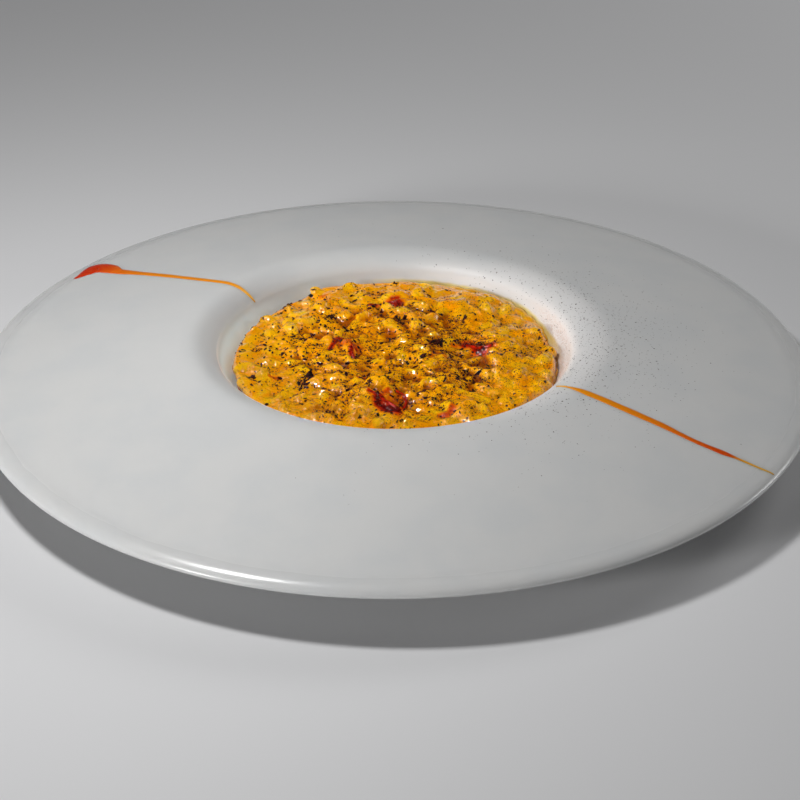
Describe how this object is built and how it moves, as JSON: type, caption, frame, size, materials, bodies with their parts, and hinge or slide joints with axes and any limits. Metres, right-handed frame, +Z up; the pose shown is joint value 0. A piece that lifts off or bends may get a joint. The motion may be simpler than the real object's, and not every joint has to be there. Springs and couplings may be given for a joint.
{
  "type": "plated saffron risotto",
  "caption": "Saffron risotto filling the small well of a wide-brimmed white porcelain plate whose brim falls outwards to a thin edge.",
  "frame": {"origin": "on the plate's axis, at the level of the table under the foot ring", "axes": "+Z up along the plate's axis, -Y towards the diner"},
  "size_m": [0.31, 0.31, 0.0322],
  "materials": {
    "porcelain": "smooth white glaze",
    "risotto": "wet and creamy, with grains"
  },
  "bodies": {
    "root": {"plate": "porcelain", "risotto": "risotto"}
  },
  "joints": []
}
